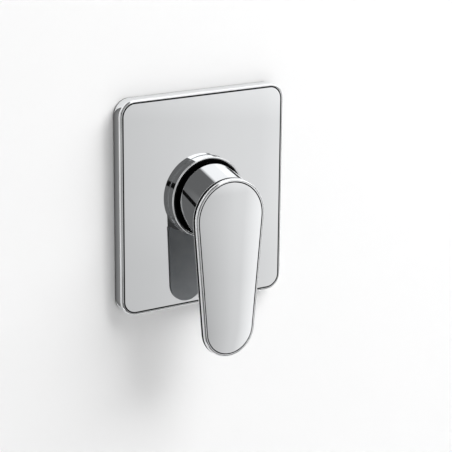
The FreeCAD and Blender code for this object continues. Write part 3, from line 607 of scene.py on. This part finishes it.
def make_finishes():
    """A finish for each material slot of the record."""
    finishes = {slot: make_plastic(slot, **values) for slot, values in PLASTICS.items()}
    for slot, make in (("chrome", make_chrome), ("brass", make_brass), ("steel", make_steel),
                       ("rubber", make_rubber), ("foam", make_foam), ("ceramic", make_ceramic)):
        finishes[slot] = make()
    return finishes


def dress_nodes(finishes):
    """Gives each CAD node the finish of its slot."""
    for part in frame["record"]["subparts"]:
        node = nodes[part["node"]]
        node.data.materials.clear()
        node.data.materials.append(finishes[part["material_slot"]])
        node.visible_glossy = part["node"] not in NOT_MIRRORED


def add_piece(piece, body, node, slot, finishes):
    """Finishes a rebuilt piece and puts it on its body in place of a node."""
    smooth(piece)
    piece.data.materials.append(finishes[slot])
    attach(piece, body)
    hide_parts(node)
    piece.visible_glossy = node not in NOT_MIRRORED


def add_pieces(finishes):
    """The chrome pieces, rebuilt with dense rounded edges, and the dark joints and seal between them."""
    add_piece(make_face_plate(), "valve", "face_plate", "chrome", finishes)
    plate_joint = make_joint("plate_joint", plate_ring, PLATE_JOINT, PLATE_FACE)
    add_piece(plate_joint, "valve", "face_plate", "black_plastic", finishes)
    add_piece(make_foot(), "valve", "face_plate", "rubber", finishes)
    add_piece(make_sleeve(), "valve", "sleeve", "chrome", finishes)
    add_piece(make_blade(), "lever", "lever_handle", "chrome", finishes)
    blade_joint = make_joint("blade_joint", blade_ring, BLADE_JOINT, BLADE_SHOULDER)
    add_piece(blade_joint, "lever", "lever_handle", "black_plastic", finishes)
    add_piece(make_parting(), "lever", "lever_handle", "black_plastic", finishes)
    add_piece(make_hub(), "lever", "lever_handle", "chrome", finishes)
    add_piece(make_socket(), "lever", "lever_handle", "chrome", finishes)


def new_stage_material(name):
    """Empty material; returns it with its node tree and the surface socket to fill."""
    material = bpy.data.materials.new(name)
    material.use_nodes = True
    tree = material.node_tree
    tree.nodes.clear()
    output = tree.nodes.new("ShaderNodeOutputMaterial")
    return material, tree, output.inputs["Surface"]


def add_math(tree, operation, first, second):
    """Result of a math node on two sockets, or on a socket and a number."""
    node = tree.nodes.new("ShaderNodeMath")
    node.operation = operation
    tree.links.new(first, node.inputs[0])
    if isinstance(second, bpy.types.NodeSocket):
        tree.links.new(second, node.inputs[1])
    else:
        node.inputs[1].default_value = second
    return node.outputs[0]


def make_room_paint(name, colour, lift):
    """Matt paint; lift is light that only the camera and mirrors see. Seen from behind it is clear."""
    paint, tree, surface = new_stage_material(name)
    path = tree.nodes.new("ShaderNodeLightPath")
    side = tree.nodes.new("ShaderNodeNewGeometry")
    diffuse = tree.nodes.new("ShaderNodeBsdfDiffuse")
    diffuse.inputs["Color"].default_value = (*colour, 1)
    glow = tree.nodes.new("ShaderNodeEmission")
    seen = add_math(tree, "MAXIMUM", path.outputs["Is Camera Ray"], path.outputs["Is Glossy Ray"])
    tree.links.new(add_math(tree, "MULTIPLY", seen, lift), glow.inputs["Strength"])
    lit = tree.nodes.new("ShaderNodeAddShader")
    tree.links.new(diffuse.outputs[0], lit.inputs[0])
    tree.links.new(glow.outputs[0], lit.inputs[1])
    clear = tree.nodes.new("ShaderNodeBsdfTransparent")
    mix = tree.nodes.new("ShaderNodeMixShader")
    behind = add_math(tree, "MULTIPLY", side.outputs["Backfacing"], path.outputs["Is Camera Ray"])
    tree.links.new(behind, mix.inputs["Fac"])
    tree.links.new(lit.outputs[0], mix.inputs[1])
    tree.links.new(clear.outputs[0], mix.inputs[2])
    tree.links.new(mix.outputs[0], surface)
    return paint


def add_sheet(name, points, faces, material):
    """Stage object whose faces keep the order of their points."""
    mesh = bpy.data.meshes.new(name)
    mesh.from_pydata(points, [], faces)
    mesh.materials.append(material)
    sheet = bpy.data.objects.new(name, mesh)
    scene.collection.objects.link(sheet)
    return sheet


def rectangle(low_x, low_y, high_x, high_y):
    """Corners in the order of their circuit."""
    return [(low_x, low_y), (high_x, low_y), (high_x, high_y), (low_x, high_y)]


def add_wall():
    """White wall with an opening for the valve body."""
    low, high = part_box("valve_body")
    opening = rectangle(low.x - OPENING_MARGIN, low.z - OPENING_MARGIN,
                        high.x + OPENING_MARGIN, high.z + OPENING_MARGIN)
    outer = rectangle(-WALL_HALF_WIDTH, FLOOR_LEVEL, WALL_HALF_WIDTH, WALL_TOP)
    points = [Vector((x, WALL_PLACE, z)) for x, z in opening + outer]
    faces = [(place, 4 + place, 4 + (place + 1) % 4, (place + 1) % 4) for place in range(4)]
    add_sheet("wall", points, faces, make_room_paint("wall_paint", WALL_COLOUR, WALL_LIFT))


def add_floor():
    """Pale floor in front of the wall and behind it."""
    corners = rectangle(-WALL_HALF_WIDTH, -FLOOR_REACH, WALL_HALF_WIDTH, FLOOR_REACH)
    points = [Vector((x, y, FLOOR_LEVEL)) for x, y in corners]
    add_sheet("floor", points, [(0, 1, 2, 3)], make_room_paint("floor_paint", FLOOR_COLOUR, FLOOR_LIFT))


def direction(azimuth, elevation):
    """Unit vector; azimuth goes from the user's side towards +X, both in degrees."""
    turn, rise = math.radians(azimuth), math.radians(elevation)
    return Vector((math.sin(turn) * math.cos(rise), -math.cos(turn) * math.cos(rise), math.sin(rise)))


def make_card_light():
    """Emission whose strength is stored on the card's points."""
    light, tree, surface = new_stage_material("card_light")
    stored = tree.nodes.new("ShaderNodeAttribute")
    stored.attribute_name = "glow"
    glow = tree.nodes.new("ShaderNodeEmission")
    tree.links.new(stored.outputs["Fac"], glow.inputs["Strength"])
    tree.links.new(glow.outputs[0], surface)
    return light


def between(stops):
    """Angles and values in even steps from stop to stop."""
    places = []
    for (start, first), (end, last) in zip(stops, stops[1:]):
        places += [(start + (end - start) * step / CARD_STEPS, first + (last - first) * step / CARD_STEPS)
                   for step in range(CARD_STEPS)]
    return places + [stops[-1]]


def shine(card, glow):
    """Gives a card its strengths and hides it from everything but mirrors."""
    card.data.attributes.new("glow", "FLOAT", "POINT").data.foreach_set("value", glow)
    card.visible_camera = False
    card.visible_diffuse = False
    card.visible_shadow = False


def add_card(name, light, azimuths, elevations, distance):
    """Part of a sphere round the object, with strengths from the azimuths and factors from the elevations."""
    columns, rows = between(azimuths), between(elevations)
    points = [distance * direction(azimuth, elevation) for elevation, _ in rows for azimuth, _ in columns]
    glow = [strength * factor for _, factor in rows for _, strength in columns]
    wide = len(columns)
    faces = []
    for row in range(len(rows) - 1):
        for corner in range(row * wide, row * wide + wide - 1):
            faces.append((corner, corner + 1, corner + wide + 1, corner + wide))
    shine(add_sheet(name, points, faces, light), glow)


def add_painted_wall_shade(light):
    """Painted shade: a dark strip on the wall beside the plate, darkest next to it, that the plate's left
    side mirrors in place of the wall.
    """
    corners = rectangle(PLATE_LOW.x - WALL_SHADE_FAR, PLATE_LOW.z - WALL_SHADE_DROP,
                        PLATE_LOW.x - WALL_SHADE_NEAR, PLATE_HIGH.z)
    flag = add_sheet("wall_shade_strip", [Vector((x, 0, z)) for x, z in corners], [(0, 1, 2, 3)], light)
    shine(flag, (WALL_SHADE_FAR_GLOW, WALL_SHADE_NEAR_GLOW, WALL_SHADE_NEAR_GLOW, WALL_SHADE_FAR_GLOW))


def add_painted_hub_reflection(light):
    """Painted dark reflection: a dark sheet inside the hub that mirrors show in place of the hub, above the
    dark back cover.
    """
    depth = BLADE_BACK - COVER_DEPTH / 2
    ring = teardrop(depth, BACK_TOP_RADIUS - BACK_RIM, BACK_TOP_DROP, HUB_REFLECTION_RADIUS, HUB_REFLECTION_DROP)
    flag = add_sheet("hub_dark_reflection", ring, [tuple(range(len(ring)))], light)
    shine(flag, [HUB_REFLECTION_GLOW] * len(ring))
    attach(flag, "lever")


def add_cards():
    """Softboxes and dark flags that the chrome mirrors, and the painted shade on the wall and painted dark
    reflection in the hub.
    """
    light = make_card_light()
    # Painted shade beside the plate and painted dark reflection in the hub, seen only in mirrors
    add_painted_wall_shade(light)
    add_painted_hub_reflection(light)
    for name, (azimuths, elevations, distance) in CARDS.items():
        add_card(name, light, azimuths, elevations, distance)


def add_lamp(name, place, target, size, energy):
    """Soft square lamp that mirrors don't show."""
    data = bpy.data.lights.new(name, "AREA")
    data.shape = "SQUARE"
    data.size = size
    data.energy = energy
    lamp = bpy.data.objects.new(name, data)
    lamp.location = place
    lamp.rotation_euler = (Vector(target) - Vector(place)).to_track_quat("-Z", "Y").to_euler()
    lamp.visible_glossy = False
    scene.collection.objects.link(lamp)


def add_lamps():
    """A large lamp from the upper right, and a small one for the part behind the wall."""
    add_lamp("key", place=(1.75, -1.0, 2.4), target=(0, 0, 0), size=2.6, energy=188)
    add_lamp("rear_key", place=(0.7, 1.2, 0.9), target=(0, 0.03, 0), size=0.8, energy=12)


def add_world():
    """Soft light from all round, and a white backdrop for the camera, mirrors and glass."""
    world = bpy.data.worlds.new("studio")
    scene.world = world
    world.use_nodes = True
    tree = world.node_tree
    background = tree.nodes["Background"]
    background.inputs["Color"].default_value = (1, 1, 1, 1)
    path = tree.nodes.new("ShaderNodeLightPath")
    direct = add_math(tree, "MAXIMUM", path.outputs["Is Camera Ray"], path.outputs["Is Glossy Ray"])
    seen = add_math(tree, "MAXIMUM", direct, path.outputs["Is Transmission Ray"])
    level = tree.nodes.new("ShaderNodeMapRange")
    level.inputs["To Min"].default_value = AMBIENT
    level.inputs["To Max"].default_value = BACKDROP
    tree.links.new(seen, level.inputs["Value"])
    tree.links.new(level.outputs["Result"], background.inputs["Strength"])


def add_camera():
    """Camera at the photograph's place, turned by its azimuth, elevation and roll."""
    azimuth, elevation = CAMERA_AZIMUTH, CAMERA_ELEVATION
    forward = Vector((math.sin(azimuth) * math.cos(elevation), math.cos(azimuth) * math.cos(elevation),
                      -math.sin(elevation)))
    level = Vector((math.cos(azimuth), -math.sin(azimuth), 0))
    upright = level.cross(forward)
    right = math.cos(CAMERA_ROLL) * level + math.sin(CAMERA_ROLL) * upright
    up = math.cos(CAMERA_ROLL) * upright - math.sin(CAMERA_ROLL) * level
    data = bpy.data.cameras.new("camera")
    data.sensor_width = CAMERA_SENSOR
    data.lens = CAMERA_LENS
    camera = bpy.data.objects.new("camera", data)
    turn = Matrix((right, up, -forward)).transposed().to_4x4()
    camera.matrix_world = Matrix.Translation(CAMERA_PLACE) @ turn
    scene.collection.objects.link(camera)
    scene.camera = camera


scene.view_settings.view_transform = "Standard"
finishes = make_finishes()
dress_nodes(finishes)
add_pieces(finishes)
add_wall()
add_floor()
add_cards()
add_lamps()
add_world()
add_camera()
